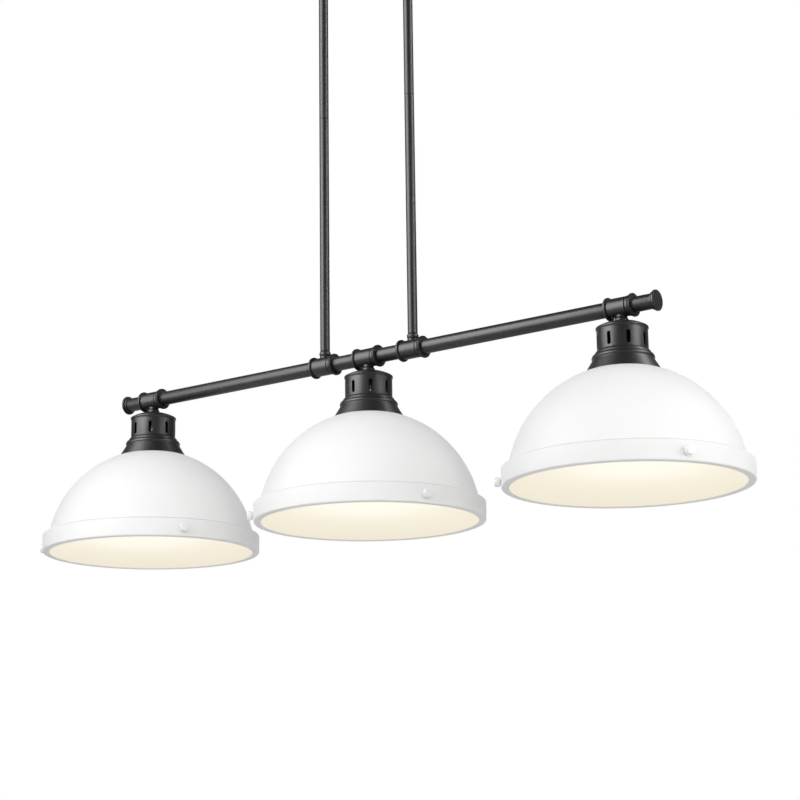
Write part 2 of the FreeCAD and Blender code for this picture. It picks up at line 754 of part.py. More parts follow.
def make_bar():
    body = turned_along_bar("bar_tube", [(-bar_end, bar_radius - d.bar_wall), (bar_end, bar_radius - d.bar_wall),
                                         (bar_end, bar_radius), (-bar_end, bar_radius)])
    for word, at, cap_clock, ring_clock in SHADES:
        round_hole(body, "bar_hole_shade_" + word, at, 0, d.wire_hole_dia / 2, bar_radius + 1)
    for word, at in RODS:
        round_hole(body, "bar_hole_rod_" + word, at, 0, d.wire_hole_dia / 2, bar_radius + 1, up=True)
    return body


def make_tee(name):
    """Drawn with its stem pointing down: a rolled flange at its left, a plain end at its right."""
    left = -d.tee_left
    right = d.tee_length - d.tee_left
    body_radius = d.tee_dia / 2
    rim = d.flange_dia / 2
    edge = d.flange_edge
    neck = left + d.flange_width
    body = turned_along_bar(name, [
        (left, 0), (right, 0), (right, body_radius - edge / 2), (right - edge / 2, body_radius),
        (neck, body_radius), (neck, rim - edge), (neck - edge, rim, edge, 1),
        (left + edge, rim), (left, rim - edge, edge, 1)])
    boss = new_sketch(body, "XY_Plane", name + "_boss")
    draw_circle(boss, 0, 0, d.boss_dia / 2)
    pad(body, boss, d.boss_reach, back=True)
    hollow_out(body, name + "_bore", [(left - 1, 0), (right + 1, 0), (right + 1, bore_radius),
                                      (left - 1, bore_radius)])
    round_hole(body, name + "_stem_hole", 0, 0, thread_radius, d.boss_reach + 1)
    return body


def make_lock_collar(name):
    """Groove, ring, groove and a flange whose rim has a fine line round it."""
    ring = d.collar_ring_dia / 2
    groove = d.groove_dia / 2
    rim = d.flange_dia / 2
    edge = d.flange_edge
    one = d.groove_width
    two = one + d.collar_ring_width
    three = two + d.groove_width
    four = three + d.flange_width
    line = three + d.flange_width / 2
    return turned_along_bar(name, [
        (0, bore_radius), (four, bore_radius), (four, rim - edge), (four - edge, rim, edge, 1),
        (line + edge / 2, rim), (line, rim - edge / 2), (line - edge / 2, rim), (three + edge, rim),
        (three, rim - edge, edge, 1), (three, groove), (two, groove), (two, ring - edge / 2),
        (two - edge / 2, ring), (one + edge / 2, ring), (one, ring - edge / 2), (one, groove), (0, groove)])


def make_end_cap(name):
    """Drawn for the right-hand end; it starts at the tube's end face."""
    plug = bar_radius - d.bar_wall - d.slide_gap
    groove = d.end_cap_groove_dia / 2
    ring = d.end_cap_ring_dia / 2
    disc = d.end_cap_dia / 2
    one = d.end_cap_groove
    two = one + d.end_cap_ring
    three = two + d.end_cap_groove
    face = three + d.end_cap_disc
    edge = d.end_cap_chamfer
    soft = d.flange_edge
    return turned_along_bar(name, [
        (-d.end_cap_plug, 0), (face, 0), (face, disc - edge), (face - edge, disc),
        (three + soft, disc), (three, disc - soft, soft, 1), (three, groove), (two, groove),
        (two, ring - soft), (two - soft, ring, soft, 1), (one + soft, ring),
        (one, ring - soft, soft, 1), (one, groove), (0, groove), (0, plug),
        (-d.end_cap_plug + soft, plug), (-d.end_cap_plug, plug - soft)])


keep(place(make_bar(), 0, 0, bar_level))
collars = []
collar_step = d.tee_length - d.tee_left
for word, at, cap_clock, ring_clock in SHADES:
    keep(place(make_tee("shade_tee_" + word), at, 0, bar_level))
    collars.append(place(make_lock_collar("collar_shade_" + word), at + collar_step, 0, bar_level))
for word, at in RODS:
    keep(place(make_tee("rod_tee_" + word), at, 0, bar_level, 180, V(1, 0, 0)))
    collars.append(place(make_lock_collar("collar_rod_" + word), at + collar_step, 0, bar_level))
keep_group("tee_lock_collars", collars)
keep(place(make_end_cap("end_cap_left"), -bar_end, 0, bar_level, 180))
keep(place(make_end_cap("end_cap_right"), bar_end, 0, bar_level))

# ---------------------------------------------------------------------------
# One shade: the pieces are drawn down from the bar's axis
# ---------------------------------------------------------------------------


def make_vent_cap(name):
    """Spun cup, upside down, with upright slots right round, a flared rim and a domed top."""
    side = d.cap_dia / 2
    rim = d.cap_rim_dia / 2
    crown = d.cap_crown_dia / 2
    wall = d.cap_wall
    lip = cap_shoulder - d.cap_rim
    neck = lip - d.cap_flare
    flare = swell((d.cap_flare * d.cap_flare + (rim - side) * (rim - side)).root(), wall / 2)
    body = turned(name, [
        (thread_radius, cap_top - wall), (crown, cap_top - wall),
        (rim - wall, cap_shoulder - wall, swell(2 * (rim - wall - crown), d.cap_dome), -1), (rim - wall, lip),
        (side - wall, neck, flare, 1), (side - wall, cap_foot), (side, cap_foot), (side, neck),
        (rim, lip, flare, -1), (rim, cap_shoulder),
        (crown, cap_top, swell(2 * (rim - crown), d.cap_dome), 1), (thread_radius, cap_top)])
    slot = new_sketch(body, "XZ_Plane", name + "_slot")
    draw_slot(slot, 0, cap_foot + d.slot_margin + d.slot_length / 2, d.slot_length, d.slot_width, True)
    opening = cut(body, slot, d.cap_dia, back=True)
    repeat_round(body, [opening], d.slot_count)
    return body


def make_shade_collar(name):
    """Spun in two round steps, an undercut and a cone that sits on the dome."""
    wall = d.collar_wall
    one = d.step_one_dia / 2
    two = d.step_two_dia / 2
    waist = d.waist_dia / 2
    shelf = two - d.step_inset
    cone_inside = cone_radius - wall
    seat = dome_level + (dome_radius * dome_radius - cone_inside * cone_inside).root() + d.collar_gap
    return turned(name, [
        (thread_radius, cap_foot), (thread_radius, cap_foot - wall),
        (one - d.step_inset - wall / 3, cap_foot - wall),
        (one - wall, step_one_foot, d.step_one - wall, -1),
        (one - wall, step_one_foot - wall), (shelf - wall / 3, step_one_foot - wall),
        (two - wall, step_two_foot + wall / 2, d.step_two - wall, -1), (waist - wall, cone_top),
        (cone_inside, seat), (cone_radius, cone_foot), (waist, cone_top), (two, step_two_foot),
        (shelf, step_one_foot, d.step_two, 1), (one, step_one_foot),
        (one - d.step_inset, cap_foot, d.step_one, 1)])


def make_dome(name):
    """Half a sphere, a flat crown, a cove and a plain skirt that goes inside the ring."""
    wall = d.dome_wall
    inside = dome_radius - wall
    hole = d.holder_dia / 2 + d.holder_gap
    cove_radius = skirt_radius - d.skirt_edge
    reach = dome_radius + d.cove
    cove_height = (reach * reach - cove_radius * cove_radius).root()
    ledge = dome_level + cove_height - d.cove
    skirt_foot = ledge - d.skirt_height
    crown_inside = crown_level - wall
    inner_crown = (inside * inside - (crown_inside - dome_level) * (crown_inside - dome_level)).root()
    hollow = d.cove + wall
    skirt_inside = skirt_radius - wall
    under = cove_radius - skirt_inside
    shoulder = dome_level + cove_height - (hollow * hollow - under * under).root()
    return turned(name, [
        (hole, crown_inside), (hole, crown_level), (crown_radius, crown_level),
        (cove_radius * (dome_radius / reach), dome_level + cove_height * (dome_radius / reach), dome_radius, -1),
        (cove_radius, ledge, d.cove, 1), (skirt_radius, ledge - d.skirt_edge, d.skirt_edge, -1),
        (skirt_radius, skirt_foot), (skirt_inside, skirt_foot), (skirt_inside, shoulder),
        (cove_radius * (inside / reach), dome_level + cove_height * (inside / reach), hollow, -1),
        (inner_crown, crown_inside, inside, 1)])


def make_ring(name):
    """A channel of sheet: lip at its top, band, lip at its foot for the glass, three threaded inserts."""
    wall = d.ring_wall
    outer = d.ring_round
    inner = d.ring_round - wall
    flat = ring_radius - outer
    body = turned(name, [
        (lip_radius, ring_top - wall), (flat, ring_top - wall),
        (ring_radius - wall, ring_top - outer, inner, -1), (ring_radius - wall, ring_foot + outer),
        (flat, ring_foot + wall, inner, -1), (ring_radius - d.bottom_lip, ring_foot + wall),
        (ring_radius - d.bottom_lip, ring_foot), (flat, ring_foot),
        (ring_radius, ring_foot + outer, outer, 1), (ring_radius, ring_top - outer),
        (flat, ring_top, outer, 1), (lip_radius, ring_top)])
    insert = new_sketch(body, "XZ_Plane", name + "_insert", ring_radius - wall - d.insert_length)
    draw_circle(insert, 0, screw_level, d.insert_dia / 2)
    boss = pad(body, insert, d.insert_length + wall / 2)
    hole = new_sketch(body, "XZ_Plane", name + "_hole", lip_radius)
    draw_circle(hole, 0, screw_level, d.screw_dia / 2 + d.slide_gap)
    opening = cut(body, hole, d.top_lip + 1, back=True)
    repeat_round(body, [boss, opening], d.screw_count)
    return body


def make_thumbscrew(name):
    """Drawn along -Y at its own height: thread, neck and a round head."""
    tip = -(skirt_radius + d.screw_gap)
    shoulder = -(ring_radius + d.screw_gap)
    head = shoulder - d.knob_neck
    end = head - d.knob_length
    thread = d.screw_dia / 2
    knob = d.knob_dia / 2
    soft = d.knob_round
    edge = thread / 4
    body = new_body(name)
    sketch = new_sketch(body, "YZ_Plane", name + "_outline")
    draw_outline(sketch, [
        (end, 0), (tip, 0), (tip, thread - edge), (tip - edge, thread), (shoulder, thread),
        (shoulder, d.knob_neck_dia / 2), (head, d.knob_neck_dia / 2), (head, knob - edge),
        (head - edge, knob), (end + soft, knob), (end, knob - soft, soft, 1)])
    spin(body, sketch, "H_Axis")
    return body


def make_glass(name):
    radius = glass_radius
    soft = d.glass_round
    top = glass_foot + d.glass_sheet
    return turned(name, [(0, glass_foot), (radius - soft, glass_foot), (radius, glass_foot + soft, soft, 1),
                         (radius, top - soft), (radius - soft, top, soft, 1), (0, top)])


holder_radius = d.holder_dia / 2
socket_top = holder_foot + d.socket_depth
shell_outside = d.socket_dia / 2 + d.shell_wall
contact_level = socket_top - d.contact


def make_lampholder(name):
    """Hub for the stem, wiring chamber, flange on the dome's crown and the socket's mouth."""
    hub = holder_radius - d.holder_shoulder
    flange = d.holder_flange_dia / 2
    mouth = shell_outside + d.slide_gap
    edge = d.holder_edge
    chamber_foot = socket_top + d.holder_floor
    chamber_top = holder_top - d.hub_thread
    contact = d.contact_dia / 2
    return turned(name, [
        (0, contact_level), (contact, contact_level), (contact, socket_top), (mouth, socket_top),
        (mouth, holder_foot), (holder_radius - edge, holder_foot), (holder_radius, holder_foot + edge),
        (holder_radius, crown_level), (flange, crown_level), (flange, crown_level + d.holder_flange),
        (holder_radius, crown_level + d.holder_flange), (holder_radius, holder_top - d.holder_shoulder),
        (hub, holder_top, d.holder_shoulder, 1), (thread_radius, holder_top),
        (thread_radius, chamber_top), (hub, chamber_top), (hub, chamber_foot), (0, chamber_foot)])


def make_ring_nut(name):
    top = crown_level - d.dome_wall
    inner = holder_radius + d.slide_gap
    outer = d.ring_nut_dia / 2
    edge = d.holder_edge
    return turned(name, [(inner, top - d.ring_nut), (outer - edge, top - d.ring_nut),
                         (outer, top - d.ring_nut + edge), (outer, top), (inner, top)])


def make_shell(name):
    inner = d.socket_dia / 2
    return turned(name, tube_outline(shell_outside, inner, holder_foot + d.shell_lip, socket_top))


def make_bulb(name):
    """Screw cap, a neck that curves into a round envelope, all of one thin wall."""
    top = contact_level - d.bulb_fit
    cap = d.socket_dia / 2 - d.bulb_fit
    wall = d.bulb_wall
    globe = d.bulb_dia / 2
    centre = top - d.bulb_length + globe
    cap_end = top - d.bulb_cap
    vent = d.bulb_vent_dia / 2
    joined = (globe * globe - d.bulb_shoulder * d.bulb_shoulder).root()
    shrink = (globe - wall) / globe
    return turned(name, [
        (vent, top), (vent, top - d.bulb_cap_slope - wall), (cap - wall, top - d.bulb_cap_slope - 2 * wall),
        (cap - wall, cap_end), (joined * shrink, centre + d.bulb_shoulder * shrink, d.bulb_neck_round + wall, 1),
        (0, centre - globe + wall, globe - wall, -1), (0, centre - globe),
        (joined, centre + d.bulb_shoulder, globe, 1), (cap, cap_end, d.bulb_neck_round, -1),
        (cap, top - d.bulb_cap_slope), (d.bulb_tip_dia / 2, top - wall), (d.bulb_tip_dia / 2, top)])


screw_places = [("front_right", 60.0), ("back", 180.0), ("front_left", 300.0)]
neck_beads = []
stems = []
stem_nuts = []
ring_nuts = []
shells = []
stem_top = -nipple_start
stem_foot = holder_top - d.stem_in_hub
nut_levels = [cap_top - d.cap_wall - d.stem_nut, cap_foot, cap_foot - d.collar_wall - d.stem_nut]
for word, at, cap_clock, ring_clock in SHADES:
    neck_beads.append(place(make_neck_bead("neck_bead_" + word), at, 0, bar_level - d.boss_reach))
    stem = make_nipple("stem_" + word, stem_top - stem_foot)
    stems.append(place(stem, at, 0, bar_level + stem_foot))
    for number, level in enumerate(nut_levels, start=1):
        nut = hex_nut("stem_nut_%s_%d" % (word, number), d.stem_nut_af, d.stem_nut, thread_radius)
        stem_nuts.append(place(nut, at, 0, bar_level + level))
    keep(place(make_vent_cap("vent_cap_" + word), at, 0, bar_level, cap_clock))
    keep(place(make_shade_collar("shade_collar_" + word), at, 0, bar_level))
    keep(place(make_lampholder("lampholder_" + word), at, 0, bar_level))
    ring_nuts.append(place(make_ring_nut("ring_nut_" + word), at, 0, bar_level))
    shells.append(place(make_shell("socket_shell_" + word), at, 0, bar_level))
    keep(place(make_dome("shade_" + word), at, 0, bar_level))
    keep(place(make_bulb("bulb_" + word), at, 0, bar_level))
    keep(place(make_ring("retaining_ring_" + word), at, 0, bar_level, ring_clock + screw_places[0][1]))
    keep(place(make_glass("diffuser_" + word), at, 0, bar_level))
    for where, angle in screw_places:
        screw = make_thumbscrew("%s_thumbscrew_%s" % (word, where))
        keep(place(screw, at, 0, bar_level + screw_level, ring_clock + angle))
        screw.Label = "%s_thumbscrew_%s" % (word, where)
keep_group("neck_beads", neck_beads)
keep_group("stem_nipples", stems)
keep_group("stem_lock_nuts", stem_nuts)
keep_group("shade_ring_nuts", ring_nuts)
keep_group("socket_shells", shells)

# ---------------------------------------------------------------------------
# Check and write
# ---------------------------------------------------------------------------
doc.recompute()
faults = []
for thing in doc.Objects:
    if "Invalid" in thing.State or "Error" in thing.State:
        faults.append("%s: %s" % (thing.Name, thing.State))
for piece in nodes:
    if piece.Shape.isNull() or not piece.Shape.isValid() or not piece.Shape.Solids:
        faults.append("%s has no valid solid" % piece.Label)
if faults:
    raise RuntimeError("; ".join(faults))

os.makedirs("parts", exist_ok=True)
for piece in nodes:
    piece.Shape.exportStep("parts/%s.step" % piece.Label)
print("%d pieces written" % len(nodes))
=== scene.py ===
# %% [markdown]
# # A linear island pendant
# Three white spun-metal shades hang in a row under a black bar, and two black
# rods carry the bar from a canopy on the ceiling. The engineering model is
# already packed as a frame of nodes. Here it gets its finishes, and the turned
# pieces are made again with the soft edges that catch the light.

# %% Load the frame
import json
import math

import bpy
import bmesh
from mathutils import Matrix, Vector


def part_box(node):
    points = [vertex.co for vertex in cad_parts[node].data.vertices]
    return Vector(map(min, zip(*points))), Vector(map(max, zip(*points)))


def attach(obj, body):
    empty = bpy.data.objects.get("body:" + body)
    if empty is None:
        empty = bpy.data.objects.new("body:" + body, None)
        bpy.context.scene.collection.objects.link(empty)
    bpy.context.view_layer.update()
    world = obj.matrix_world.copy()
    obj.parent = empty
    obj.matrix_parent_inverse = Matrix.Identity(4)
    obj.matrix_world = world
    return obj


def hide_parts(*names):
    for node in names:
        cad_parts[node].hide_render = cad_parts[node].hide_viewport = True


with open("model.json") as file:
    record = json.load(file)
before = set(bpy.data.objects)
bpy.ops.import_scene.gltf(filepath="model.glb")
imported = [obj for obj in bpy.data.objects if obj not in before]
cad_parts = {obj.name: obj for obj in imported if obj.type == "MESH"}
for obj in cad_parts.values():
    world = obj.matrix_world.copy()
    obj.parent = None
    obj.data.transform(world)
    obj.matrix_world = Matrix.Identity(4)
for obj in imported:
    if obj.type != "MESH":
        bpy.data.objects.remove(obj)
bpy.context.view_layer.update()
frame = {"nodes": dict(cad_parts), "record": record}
scene = bpy.context.scene
mm = 0.001

# %% [markdown]
# ## The picture's own view
# The photograph was taken from below and to the right, so the camera looks a
# little up at the light. Its place was worked out from the rims of the three
# shades. A camera is turned here by its three own axes, because that is how
# such a fit gives it: right, up and backwards make the columns of a matrix.

# %% Camera
CAMERA_X, CAMERA_Y, CAMERA_DROP = 1.84927, -2.47411, 0.81104  # metres, the drop from the bar
yaw, pitch, roll = math.radians(35.87), math.radians(13.51), math.radians(-0.78)
level = Vector((-math.sin(yaw), math.cos(yaw), 0))
right = Vector((math.cos(yaw), math.sin(yaw), 0))
up = Vector((0, 0, 1))
forward = level * math.cos(pitch) + up * math.sin(pitch)
above = up * math.cos(pitch) - level * math.sin(pitch)
camera_right = right * math.cos(roll) + above * math.sin(roll)
camera_up = above * math.cos(roll) - right * math.sin(roll)
turn = Matrix((camera_right, camera_up, -forward)).transposed().to_4x4()

bar_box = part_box("bar_tube")
bar_height = (bar_box[0][2] + bar_box[1][2]) / 2

lens = bpy.data.cameras.new("camera")
lens.lens = 91.245
lens.sensor_width = 36
lens.clip_end = 100
camera = bpy.data.objects.new("camera", lens)
scene.collection.objects.link(camera)
camera.matrix_world = Matrix.Translation((CAMERA_X, CAMERA_Y, bar_height - CAMERA_DROP)) @ turn
scene.camera = camera
print("bar axis at", round(bar_height, 4), "camera at", [round(v, 3) for v in camera.location])

# %% [markdown]
# ## Wiring shaders like sums
# A material is a net of small nodes, and sums read better than nets. This class
# holds one socket, so `0.36 + cloud * 0.08` adds the Math nodes by itself. Every
# other node comes from `node`, which takes its type, settings and inputs, and
# the kinds that come up often have a short method of their own.

# %% Shader helper
class Wire:
    def __init__(self, tree, socket):
        self.tree = tree
        self.socket = socket

    def node(self, kind, settings=None, inputs=None, output=0):
        made = self.tree.nodes.new(kind)
        for name, value in (settings or {}).items():
            setattr(made, name, value)
        for name, value in (inputs or {}).items():
            if isinstance(value, Wire):
                self.tree.links.new(value.socket, made.inputs[name])
            else:
                made.inputs[name].default_value = value
        return Wire(self.tree, made.outputs[output])

    def maths(self, operation, other=0.0):
        return self.node("ShaderNodeMath", {"operation": operation}, {0: self, 1: other})

    def vector(self, operation, inputs=None, output="Vector"):
        return self.node("ShaderNodeVectorMath", {"operation": operation},
                         {0: self, **(inputs or {})}, output)

    def noise(self, scale, detail):
        return self.node("ShaderNodeTexNoise",
                         inputs={"Vector": self, "Scale": scale, "Detail": detail})

    def bump(self, strength, distance):
        return self.node("ShaderNodeBump",
                         inputs={"Height": self, "Strength": strength, "Distance": distance})

    def smooth(self, start, end, low=0.0, high=1.0):
        """Goes softly from low to high while this wire goes from start to end."""
        return self.node("ShaderNodeMapRange", {"interpolation_type": "SMOOTHSTEP"},
                         {"Value": self, "From Min": start, "From Max": end,
                          "To Min": low, "To Max": high})

    def ramp(self, stops):
        """A colour for each value; a stop is a value from 0 to 1 and its colour."""
        made = self.node("ShaderNodeValToRGB", inputs={"Fac": self})
        elements = made.socket.node.color_ramp.elements
        while len(elements) < len(stops):
            elements.new(0.5)
        for element, (value, colour) in zip(elements, stops):
            element.position = value
            element.color = (*colour, 1)
        return made

    def between(self, dark, light):
        """Two colours of one paint, mixed by a noise, which seldom leaves 0.3 to 0.7."""
        return self.ramp([(0.3, dark), (0.7, light)])

    def __add__(self, other):
        return self.maths("ADD", other)

    def __sub__(self, other):
        return self.maths("SUBTRACT", other)

    def __mul__(self, other):
        return self.maths("MULTIPLY", other)

    def __truediv__(self, other):
        return self.maths("DIVIDE", other)

    __radd__ = __add__
    __rmul__ = __mul__


def finish_of(name, surface, **constants):
    """A material: constants go on the shader's sockets, surface(place) returns what varies."""
    material = bpy.data.materials.new(name)
    material.use_nodes = True
    tree = material.node_tree
    shader = tree.nodes["Principled BSDF"]
    for socket, value in constants.items():
        shader.inputs[socket.replace("_", " ")].default_value = value
    place = Wire(tree, tree.nodes.new("ShaderNodeTexCoord").outputs["Object"])
    for socket, wire in surface(place).items():
        tree.links.new(wire.socket, shader.inputs[socket])
    return material


def linear(tone):
    """A light tone as a screen shows it, 0 to 255, as the linear values that Blender mixes."""
    return tuple(((value / 255 + 0.055) / 1.055) ** 2.4 for value in tone)


# %% [markdown]
# ## Black powder coat
# The bar, rods and caps are powder coated: the powder melts into a satin skin
# with a very fine orange peel. Fine noise gives the peel as bump, and a slower
# noise changes the gloss a little from place to place.

# %% Black powder coat
def powder_coat(place):
    peel = place.noise(scale=900.0, detail=2.0)
    cloud = place.noise(scale=14.0, detail=3.0)
    return {"Base Color": cloud.between((0.009, 0.009, 0.0095), (0.013, 0.013, 0.0135)),
            "Roughness": 0.36 + cloud * 0.08,
            "Normal": peel.bump(strength=0.12, distance=0.0003)}


black_coat = finish_of("black_powder_coat", powder_coat, Specular_IOR_Level=0.5)


# %% [markdown]
# ## White enamel
# The shades and rings are sprayed white, with a finer peel than the powder coat
# and less shine. The colour stays a little under pure white, so that the curve
# of the dome can still be seen against a white wall. The screw heads are rubbed
# glossier by fingers, and a painted shadow darkens the dome just over the ring.

# %% White enamel
# The height of a painted shadow line on the dome, just over the ring.
PAINTED_SHADOW_DROP = 0.2334  # metres from the bar down to the line over the ring


def enamel(place):
    peel = place.noise(scale=350.0, detail=2.0)
    cloud = place.noise(scale=9.0, detail=3.0)
    return {"Base Color": cloud.between((0.86, 0.86, 0.855), (0.885, 0.885, 0.88)),
            "Roughness": 0.5 + cloud * 0.06,
            "Normal": peel.bump(strength=0.05, distance=0.0003)}


def rubbed_enamel(place):
    found = enamel(place)
    found["Roughness"] = found["Roughness"] * 0.5
    return found


def enamel_with_painted_shadow(place):
    found = enamel(place)
    # Painted shadow: the base colour darkens in a soft line just over the ring's top edge, where
    # the ring shades the dome.
    height = place.node("ShaderNodeSeparateXYZ", inputs={0: place}, output="Z")
    off_shadow_line = (height - (bar_height - PAINTED_SHADOW_DROP)).maths("ABSOLUTE")
    shade = off_shadow_line.smooth(0.0004, 0.0038, low=0.74)
    found["Base Color"] = found["Base Color"].vector("SCALE", {"Scale": shade})
    return found


white_enamel = finish_of("white_enamel", enamel, Specular_IOR_Level=0.12)
screw_enamel = finish_of("screw_enamel", rubbed_enamel, Specular_IOR_Level=0.5)
dome_enamel_painted_shadow = finish_of("dome_enamel_painted_shadow", enamel_with_painted_shadow, Specular_IOR_Level=0.12)

# %% [markdown]
# ## Frosted glass, lit from behind
# The diffuser is etched glass with a warm bulb above it. Most of its light
# comes through, so the bulb's light is painted on as a glow: cream at the rim,
# with a painted bright spot a little in front of the disc's middle and to its
# right. The distance from that spot drives the glow's colour, so each disc has
# its own material.

# %% Frosted glass
SPOT_ASIDE, SPOT_FORWARD, SPOT_REACH = 0.08, 0.11, 0.31  # metres
PAINTED_GLOW_TONES = ((0.0, (240, 239, 227)), (0.2, (239, 236, 223)), (0.43, (226, 220, 204)),
               (0.66, (218, 212, 193)), (1.0, (213, 207, 187)))


def glowing_glass(name, centre):
    def surface(place):
        from_spot = place.vector("SUBTRACT", {1: (centre + SPOT_ASIDE, -SPOT_FORWARD, 0.0)})
        away = from_spot.vector("MULTIPLY", {1: (1.0, 1.0, 0.0)}).vector("LENGTH", output="Value")
        # Painted light: the bulb's glow and its bright spot go into the emission colour.
        painted_glow = (away / SPOT_REACH).ramp([(value, linear(tone)) for value, tone in PAINTED_GLOW_TONES])
        etch = place.noise(scale=1200.0, detail=1.0)
        return {"Emission Color": painted_glow, "Normal": etch.bump(strength=0.15, distance=0.0002)}

    return finish_of(name, surface, Base_Color=(0.5, 0.45, 0.36, 1), Roughness=0.5,
                     Emission_Strength=0.8, Specular_IOR_Level=0.3)


# %% [markdown]
# ## Plated and moulded parts
# Strap, studs, nuts and nipples are bright zinc; each lampholder is black
# phenolic with a brass screw shell; the swivel seats are nylon. Hardly any of
# it shows in the photograph. It shows once the canopy or a ring comes down.

# %% Metals and plastics
def plated(colour, rough):
    def surface(place):
        grain = place.noise(scale=160.0, detail=4.0)
        return {"Base Color": grain.between(tuple(c * 0.85 for c in colour), colour),
                "Roughness": rough + grain * 0.15}

    return surface


def moulded(colour, rough):
    def surface(place):
        grain = place.noise(scale=260.0, detail=3.0)
        return {"Base Color": grain.between(tuple(c * 0.9 for c in colour), colour),
                "Roughness": rough + grain * 0.1,
                "Normal": grain.bump(strength=0.1, distance=0.0003)}

    return surface


zinc = finish_of("bright_zinc", plated((0.62, 0.63, 0.65), 0.22), Metallic=1.0)
brass = finish_of("pressed_brass", plated((0.78, 0.58, 0.26), 0.25), Metallic=1.0)
green_screw = finish_of("green_screw", plated((0.05, 0.30, 0.10), 0.3), Metallic=0.6)
phenolic = finish_of("black_phenolic", moulded((0.035, 0.035, 0.035), 0.35))
nylon = finish_of("white_nylon", moulded((0.78, 0.76, 0.70), 0.45))
bulb_white = finish_of("bulb_globe", moulded((0.88, 0.85, 0.78), 0.35),
                       Emission_Color=(1.0, 0.9, 0.7, 1), Emission_Strength=0.6)

# %% [markdown]
# ## Dressing the frame
# The record says which slot each node's finish comes from. Shades and rods are
# named by their place along the bar, in millimetres from its middle.

# %% Dress the frame
SIDES = {"left": -457.2, "middle": 0.0, "right": 457.2}
RODS = {"left": -86.4, "right": 86.4}
glass = {side: glowing_glass("frosted_glass_" + side, x * mm) for side, x in SIDES.items()}
FINISH = {"black_paint": black_coat, "white_paint": white_enamel, "zinc": zinc, "brass": brass,
          "seat_nylon": nylon, "earth_green": green_screw, "holder_black": phenolic,
          "bulb_white": bulb_white, "frosted_glass": glass["middle"]}
slot_of = {row["node"]: row["material_slot"] for row in frame["record"]["subparts"]}
for name, obj in frame["nodes"].items():
    obj.data.materials.clear()
    obj.data.materials.append(FINISH[slot_of[name]])
bodies = frame["record"]["behaviour"]["bodies"]
body_of = {node: body for body, names in bodies.items() for node in names}
print("finishes:", len(bpy.data.materials))

# %% [markdown]
# ## A pen and a lathe
# Nearly everything on this light is turned or spun. So a piece is drawn as the
# outline of one half, in millimetres from its axis and up from the bar, and
# then swept once round. Corners are rounded on the outline, before the sweep,
# where one bevel does the work of a whole ring of them.

# %% The pen
class Outline:
    """The half outline of a turned piece: distance from the axis, height."""

    def __init__(self, r, z):
        self.mesh = bmesh.new()
        self.first = self.last = self.mesh.verts.new((r * mm, 0, z * mm))
        self.soft = []

    def line(self, r, z, soft=0.0):
        """A straight side; its end is rounded by soft when the piece is turned."""
        point = self.mesh.verts.new((r * mm, 0, z * mm))
        self.mesh.edges.new((self.last, point))
        self.last = point
        if soft:
            self.soft.append((point, soft))
        return self

    def bow(self, r, z, rise, steps=6):
        """An arc that stands out by rise, or hollow where rise is negative."""
        start, end = self.last.co.copy(), Vector((r * mm, 0, z * mm))
        chord = end - start
        half, rise = chord.length / 2, rise * mm
        left = Vector((-chord.z, 0, chord.x)).normalized()
        reach = (half ** 2 - rise ** 2) / (2 * rise)
        swept = bmesh.ops.spin(self.mesh, geom=[self.last], axis=(0, -1, 0),
                               cent=(start + end) / 2 + left * reach,
                               angle=4 * math.atan(rise / half), steps=steps)
        self.last = [item for item in swept["geom_last"]
                     if isinstance(item, bmesh.types.BMVert)][0]
        self.last.co = end
        return self

    def turn(self, steps=64, closed=True, along_bar=False):
        """Rounds the soft corners, sweeps the outline once round and gives the bmesh."""
        mesh = self.mesh
        if closed:
            mesh.edges.new((self.last, self.first))
        for size in sorted({size for point, size in self.soft}):
            corners = [point for point, soft in self.soft if soft == size]
            bmesh.ops.bevel(mesh, geom=corners, offset=size * mm, offset_type="OFFSET",
                            affect="VERTICES", segments=3, profile=0.5, material=-1)
        bmesh.ops.spin(mesh, geom=mesh.verts[:] + mesh.edges[:], cent=(0, 0, 0), axis=(0, 0, 1),
                       dvec=(0, 0, 0), angle=2 * math.pi, steps=steps, use_merge=True,
                       use_duplicate=False)
        bmesh.ops.remove_doubles(mesh, verts=mesh.verts[:], dist=1e-6)
        bmesh.ops.recalc_face_normals(mesh, faces=mesh.faces[:])
        if along_bar:
            quarter_turn(mesh, "Y")
        return mesh


def quarter_turn(mesh, axis, angle=math.pi / 2):
    bmesh.ops.rotate(mesh, verts=mesh.verts[:], cent=(0, 0, 0),
                     matrix=Matrix.Rotation(angle, 3, axis))


def rise_of(radius, degrees):
    """How far an arc stands out from the straight line between its ends."""
    return radius * (1 - math.cos(math.radians(degrees) / 2))


# %% [markdown]
# ## From a bmesh to a piece
# One turned shape often serves several places, so it is stamped into the
# piece's mesh once for each. A sharp edge stays sharp where two faces meet at
# more than 35 degrees; everything else is shaded smooth.

# %% Stamping pieces
SHARP = math.radians(35)


